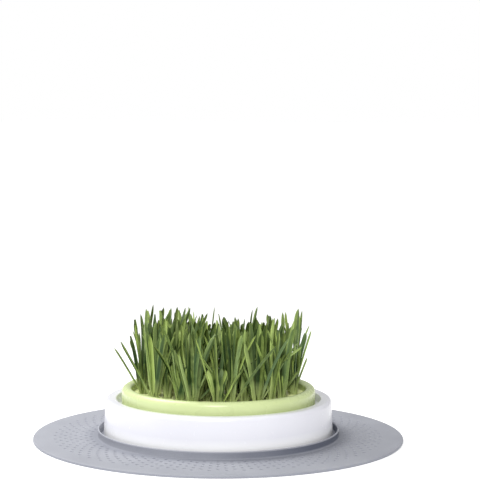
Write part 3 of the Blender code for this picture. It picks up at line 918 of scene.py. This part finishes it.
# Painted shade: one half of each leaf, across its midrib, is darker
painted_half_shade = add(tree, "ShaderNodeMapRange", [across, -0.12, 0.12, -0.24, 0.24])
shade = add(tree, "ShaderNodeMath", [shade, painted_half_shade], operation="ADD")
green = add(tree, "ShaderNodeMix", [shade, linear("#1D3508"), linear("#A9BE68")], data_type="RGBA")
under = add(tree, "ShaderNodeMapRange", [face_side, -0.2, 0.2, 0.15, 0.0])
green = add(tree, "ShaderNodeMix", [under, green, linear("#A0B57A")], data_type="RGBA")
green = add(tree, "ShaderNodeMix", [bloom, green, linear("#66835A")], data_type="RGBA")
yellowing = add(tree, "ShaderNodeMapRange", [along, 0.7, 1.0, 0.0, 0.15])
green = add(tree, "ShaderNodeMix", [yellowing, green, linear("#96AA50")], data_type="RGBA")
greening = add(tree, "ShaderNodeMapRange", [along, 0.03, 0.34, 0.0, 1.0])
green = add(tree, "ShaderNodeMix", [greening, linear("#B9C782"), green], data_type="RGBA")
vein = add(tree, "ShaderNodeMath", [across, 3.5 * 2 * math.pi], operation="MULTIPLY")
vein = add(tree, "ShaderNodeMath", [vein], operation="COSINE")
from_rib = add(tree, "ShaderNodeMath", [across], operation="ABSOLUTE")
rib = add(tree, "ShaderNodeMapRange", [from_rib, 0.0, 0.16, 1.0, 0.0])
stripes = add(tree, "ShaderNodeMath", [vein, 0.1, 0.96], operation="MULTIPLY_ADD")
stripes = add(tree, "ShaderNodeMath", [rib, 0.3, stripes], operation="MULTIPLY_ADD")
# Painted highlight: the margins are lightened
margin = add(tree, "ShaderNodeMapRange", [from_rib, 0.68, 0.88, 0.0, 0.45])
stripes = add(tree, "ShaderNodeMath", [stripes, margin], operation="ADD")
green = add(tree, "ShaderNodeVectorMath", [green, stripes], operation="MULTIPLY")
waxy = add(tree, "ShaderNodeMapRange", [mottle, 0.3, 0.7, 0.3, 0.45])
relief = add(tree, "ShaderNodeMath", [rib, 1.5, vein], operation="MULTIPLY_ADD")
bump = add(tree, "ShaderNodeBump", {"Height": relief, "Strength": 0.5, "Distance": 0.08 * MM})
set_inputs(shader, {"Base Color": green, "Roughness": waxy, "Normal": bump})
set_inputs(shader, {"IOR": 1.42, "Specular IOR Level": 0.3})

# A leaf is swept along its midrib. Its section is a flat closed ring of 12 points, thick in the middle
# and thin at the edges, which is rolled up by the angle that each point of the midrib carries, so the
# same sweep gives the round sheath and the open blade.
tree, given = new_tree("Leaf along its midrib", Ring_Points="Int", Weld="Float", Material="Material")
midribs = add(tree, "GeometryNodeMeshToCurve", [given["Geometry"]])
ring = add(tree, "GeometryNodeCurvePrimitiveCircle", {"Resolution": given["Ring Points"]})
number = add(tree, "GeometryNodeInputIndex")
half_ring = add(tree, "ShaderNodeMath", [given["Ring Points"], 0.5], operation="MULTIPLY")
quarter_ring = add(tree, "ShaderNodeMath", [half_ring, 0.5], operation="MULTIPLY")
past_half = add(tree, "ShaderNodeMath", [number, half_ring], operation="SUBTRACT")
past_half = add(tree, "ShaderNodeMath", [past_half], operation="ABSOLUTE")
edge_share = add(tree, "ShaderNodeMath", [past_half, quarter_ring], operation="DIVIDE")
across = add(tree, "ShaderNodeMath", [1.0, edge_share], operation="SUBTRACT")
turn = add(tree, "ShaderNodeMath", [number, math.pi], operation="MULTIPLY")
turn = add(tree, "ShaderNodeMath", [turn, half_ring], operation="DIVIDE")
face_side = add(tree, "ShaderNodeMath", [turn], operation="SINE")
for label, value in (("across", across), ("face_side", face_side)):
    stored = {"Geometry": ring, "Name": label, "Value": value}
    ring = add(tree, "GeometryNodeStoreNamedAttribute", stored, data_type="FLOAT", domain="POINT")
leaves = add(
    tree, "GeometryNodeCurveToMesh", {"Curve": midribs, "Profile Curve": ring, "Fill Caps": True}
)
across, face_side, width, roll, thickness, fold, middle, side, front = (
    add(tree, "GeometryNodeInputNamedAttribute", [name], data_type=kind).outputs["Attribute"]
    for kind, names in (
        ("FLOAT", ("across", "face_side", "width", "roll", "thickness", "fold")),
        ("FLOAT_VECTOR", ("middle", "side", "front")),
    )
    for name in names
)
curvature = add(tree, "ShaderNodeMath", [roll, width], operation="DIVIDE")
half_roll = add(tree, "ShaderNodeMath", [roll, 0.5], operation="MULTIPLY")
angle = add(tree, "ShaderNodeMath", [half_roll, across], operation="MULTIPLY")
sine = add(tree, "ShaderNodeMath", [angle], operation="SINE")
cosine = add(tree, "ShaderNodeMath", [angle], operation="COSINE")
proud = add(tree, "ShaderNodeMath", [face_side, thickness], operation="MULTIPLY")
proud = add(tree, "ShaderNodeMath", [proud, 0.5], operation="MULTIPLY")
sideways = add(tree, "ShaderNodeMath", [sine, curvature], operation="DIVIDE")
inwards = add(tree, "ShaderNodeMath", [sine, proud], operation="MULTIPLY")
sideways = add(tree, "ShaderNodeMath", [sideways, inwards], operation="SUBTRACT")
risen = add(tree, "ShaderNodeMath", [1.0, cosine], operation="SUBTRACT")
risen = add(tree, "ShaderNodeMath", [risen, curvature], operation="DIVIDE")
risen = add(tree, "ShaderNodeMath", [cosine, proud, risen], operation="MULTIPLY_ADD")
folded = add(tree, "ShaderNodeMath", [across], operation="ABSOLUTE")
folded = add(tree, "ShaderNodeMath", [folded, width], operation="MULTIPLY")
risen = add(tree, "ShaderNodeMath", [folded, fold, risen], operation="MULTIPLY_ADD")
spot = add(tree, "ShaderNodeVectorMath", [side, sideways], operation="SCALE")
spot = add(tree, "ShaderNodeVectorMath", [spot, middle], operation="ADD")
rise = add(tree, "ShaderNodeVectorMath", [front, risen], operation="SCALE")
spot = add(tree, "ShaderNodeVectorMath", [spot, rise], operation="ADD")
leaves = add(tree, "GeometryNodeSetPosition", {"Geometry": leaves, "Position": spot})
leaves = add(tree, "GeometryNodeMergeByDistance", {"Geometry": leaves, "Distance": given["Weld"]})
end_tree(tree, leaves, given["Material"])
leaf_along_midrib = tree

SAMPLED_STEPS = (0, 2, 4, 6, 8, 10, 12, 14, 16, 18, 19, 20, 21, 22, 23, 24)
SHEATH_FOOT = 27 * MM
SHEATH_SPREAD = 0.75 * MM
SHEATH_SPREAD_TOP = 66 * MM
SHEATH_ROLL = 5.4
LEAF_THICKNESS = 0.5 * MM
TIP_THICKNESS = 0.35
LEAF_OPEN = (0.02, 0.3)
CURL_FROM = 0.45
WAVE_FROM = (0.1, 0.4)
WAVES = 5
LEAF_POINT = 0.11
POINT_SHAPE = 0.5
THIN_LEAVES = (5, 8)
THIN_VIGOUR = 0.95
THIN_FROM_MIDDLE = 0.8
THIN_SPREAD = 0.4
THIN_WIDTH = (0.42, 0.66)
THIN_LENGTH = (0.35, 1)
THIN_LEAN = 1.4
THIN_BEND = 1.6
EXTRA_LEAN = (0, 9)
SPRAWL = (12, 24)
SPRAWLING = 0.3


def midrib_of(blade):
    """What the sweep needs at each point of one midrib, from the sheath's foot to the tip."""
    points, headings = blade_spine(blade)
    across = Vector((-math.sin(blade["azimuth"]), math.cos(blade["azimuth"]), 0))
    rows = []
    for step in (None, *SAMPLED_STEPS):
        share = 0 if step is None else step / SPINE_STEPS
        heading = headings[0 if step is None else step]
        spine = points[0 if step is None else step].copy()
        if step is None:
            spine.z = SHEATH_FOOT
        risen = smooth_step(ROOT_HEIGHT, SHEATH_SPREAD_TOP, spine.z)
        spine += blade["spread"] * SHEATH_SPREAD * (1 - risen)
        flat_side, flat_back = facing_of(blade, heading, share)
        curl = blade["curl"] * smooth_step(CURL_FROM, 1, share)
        side = flat_side * math.cos(curl) + flat_back * math.sin(curl)
        back = flat_back * math.cos(curl) - flat_side * math.sin(curl)
        wave = blade["wave"] * math.sin(blade["phase"] + WAVES * share)
        spine += across * wave * smooth_step(*WAVE_FROM, share)
        opened = smooth_step(*LEAF_OPEN, share)
        point = min(1, (1 - share) / LEAF_POINT) ** POINT_SHAPE
        width = max(blade["width"] * max(point, blade["blunt"]), 0.02 * MM)
        roll = SHEATH_ROLL + (blade["roll"] - SHEATH_ROLL) * opened
        fold = blade["fold"] * opened
        centring = width / roll * (1 - math.sin(roll / 2) / (roll / 2)) + fold * width / 2
        rows.append(
            {
                "middle": spine + back * centring,
                "side": side,
                "front": -back,
                "width": width,
                "roll": roll,
                "fold": fold,
                "thickness": LEAF_THICKNESS * (TIP_THICKNESS + (1 - TIP_THICKNESS) * point),
                "along": share,
                "tone": blade["tone"],
                "bloom": blade["bloom"],
            }
        )
    return rows


def add_thin_leaves(draw, place, blades):
    """Narrow second leaves that open inside the bundle, kept clear of the cover's rim. Some sprawl."""
    for number in range(draw.randint(*THIN_LEAVES)):
        fan = draw.uniform(0, 2 * math.pi)
        sprawl = draw.uniform(*SPRAWL) if draw.random() < SPRAWLING else 0
        for attempt in range(TRIES):
            blade = draw_blade(draw, place, THIN_VIGOUR, fan, THIN_FROM_MIDDLE, attempt)
            blade["width"] *= draw.uniform(*THIN_WIDTH)
            more_lean = math.radians(draw.uniform(*EXTRA_LEAN) + sprawl) * (1 - attempt / TRIES)
            blade["lean"] = blade["lean"] * THIN_LEAN + more_lean
            blade["bend"] *= THIN_BEND
            blade["length"] *= draw.uniform(*THIN_LENGTH)
            blade["is_young"] = True
            if clears_cover(blade_corners(blade, CLEARANCE)):
                blade["spread"] = Vector((math.cos(fan), math.sin(fan), 0)) * THIN_SPREAD
                blades.append(blade)
                break


def midribs_mesh(name, blades):
    """A mesh of one chain of edges for each leaf, with what the sweep needs on its points."""
    rows = []
    edges = []
    for blade in blades:
        start = len(rows)
        rows += midrib_of(blade)
        edges += [(number, number + 1) for number in range(start, len(rows) - 1)]
    mesh = bpy.data.meshes.new(name)
    mesh.from_pydata([row["middle"] for row in rows], edges, [])
    for label in ("middle", "side", "front"):
        layer = mesh.attributes.new(label, "FLOAT_VECTOR", "POINT")
        layer.data.foreach_set("vector", [number for row in rows for number in row[label]])
    for label in ("width", "roll", "fold", "thickness", "along", "tone", "bloom"):
        layer = mesh.attributes.new(label, "FLOAT", "POINT")
        layer.data.foreach_set("value", [row[label] for row in rows])
    return mesh


# Tones run from 0, the darkest green, to 1. Painted shade darkens the stand's middle; young leaves are
# paler
TONE = (0.17, 0.37)
TUFT_TONE = (-0.38, -0.14)
TONE_BY_RIM = 0.34
YOUNG_TONE = 0.3
BLUNT_TIPS = 0.16
BLUNT_WIDTH = (0.2, 0.55)
FOLD = (0.18, 0.42)
ROLL = (0.3, 1.3)
YOUNG_ROLL = 1.4
CURL = 0.5
WAVE = 1.8 * MM
MOST_BLOOM = 0.5

grass = []
for number, (place, blades) in enumerate(grow_tufts(), start=1):
    draw = random.Random(GRASS_SEED * 2000 + number)
    draw_bloom = random.Random(GRASS_SEED * 3000 + number)
    add_thin_leaves(draw, place, blades)
    # Painted shade: tufts nearer the middle of the stand get darker tones
    tuft_tone = draw.uniform(*TUFT_TONE) + TONE_BY_RIM * math.hypot(*place) / TUFT_REACH
    for blade in blades:
        is_young = blade.get("is_young", False)
        blade["tone"] = min(1, max(0, draw.gauss(*TONE) + tuft_tone + YOUNG_TONE * is_young))
        blade["blunt"] = draw.uniform(*BLUNT_WIDTH) if draw.random() < BLUNT_TIPS else 0
        blade["fold"] = draw.uniform(*FOLD)
        blade["roll"] = draw.uniform(*ROLL) + YOUNG_ROLL * is_young
        blade["curl"] = draw.gauss(0, CURL)
        blade["wave"] = draw.uniform(-WAVE, WAVE)
        blade["phase"] = draw.uniform(0, 2 * math.pi)
        blade["bloom"] = MOST_BLOOM * draw_bloom.random() ** 4
    name = f"wheatgrass_{number:02d}"
    tuft = add_object(name, midribs_mesh(name, blades))
    run_tree(tuft, leaf_along_midrib, Ring_Points=12, Weld=0.03 * MM, Material=leaf)
    grass.append(tuft)
for number, tuft in enumerate(grass, start=1):
    keep_result(tuft)
    for label in ("middle", "side", "front", "width", "roll", "fold", "thickness"):
        tuft.data.attributes.remove(tuft.data.attributes[label])
    close_and_shade(tuft.data)
    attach(tuft, "root")
    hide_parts(f"tuft_{number:02d}")

# Studio: a plain white floor, a soft key light from the front, a softbox from the upper left, and the
# camera at the photograph's place.
FLOOR_SIZE = 40
KEY_FROM = (-0.05, -0.8, 0.48)
SOFTBOX_PLACE = (-0.42, 0.15, 0.72)
SOFTBOX_AIM = (-0.05, 0, 0.05)
CAMERA_PLACE = (0, -1.6, 0.3281)
CAMERA_DOWN, CAMERA_RIGHT, CAMERA_ROLL = 4.624, 0.743, 0.296

bm = bmesh.new()
bmesh.ops.create_grid(bm, x_segments=1, y_segments=1, size=FLOOR_SIZE)
floor = new_object("floor", bm)
floor.data.transform(Matrix.Translation((0, 0, -0.1 * MM)))
floor_paint, tree, shader, place = new_material("matte_white_floor")
clouds = add(tree, "ShaderNodeTexNoise", {"Vector": place, "Scale": 3.0, "Detail": 2.0})
white = add(tree, "ShaderNodeMix", [clouds, linear("#F4F4F4"), linear("#F8F8F8")], data_type="RGBA")
set_inputs(shader, {"Base Color": white, "Roughness": 0.9, "Specular IOR Level": 0.1})
set_inputs(shader, {"Emission Color": (1, 1, 1, 1), "Emission Strength": 0.35})
floor.data.materials.append(floor_paint)

world = bpy.data.worlds.new("studio")
bpy.context.scene.world = world
world.use_nodes = True
tree = world.node_tree
seen = add(tree, "ShaderNodeLightPath").outputs["Is Camera Ray"]
strength = add(tree, "ShaderNodeMapRange", [seen, 0.0, 1.0, 0.45, 1.0])
set_inputs(tree.nodes["Background"], {"Color": (1, 1, 1, 1), "Strength": strength})

key = add_object("key", bpy.data.lights.new("key", "SUN"))
key.data.energy = 1.75
key.data.angle = math.radians(20)
key.rotation_euler = Vector(KEY_FROM).to_track_quat("Z", "Y").to_euler()
softbox = add_object("softbox", bpy.data.lights.new("softbox", "AREA"))
softbox.data.energy = 5.4
softbox.data.size = 0.5
softbox.location = SOFTBOX_PLACE
away = softbox.location - Vector(SOFTBOX_AIM)
softbox.rotation_euler = away.to_track_quat("Z", "Y").to_euler()

camera = add_object("camera", bpy.data.cameras.new("camera"))
camera.data.sensor_width = 36
camera.data.lens = 120.87
aim = Euler((math.radians(90 - CAMERA_DOWN), 0, math.radians(-CAMERA_RIGHT))).to_matrix().to_4x4()
roll = Matrix.Rotation(math.radians(CAMERA_ROLL), 4, "Z")
camera.matrix_world = Matrix.Translation(CAMERA_PLACE) @ aim @ roll
bpy.context.scene.camera = camera
bpy.context.scene.view_settings.view_transform = "Standard"
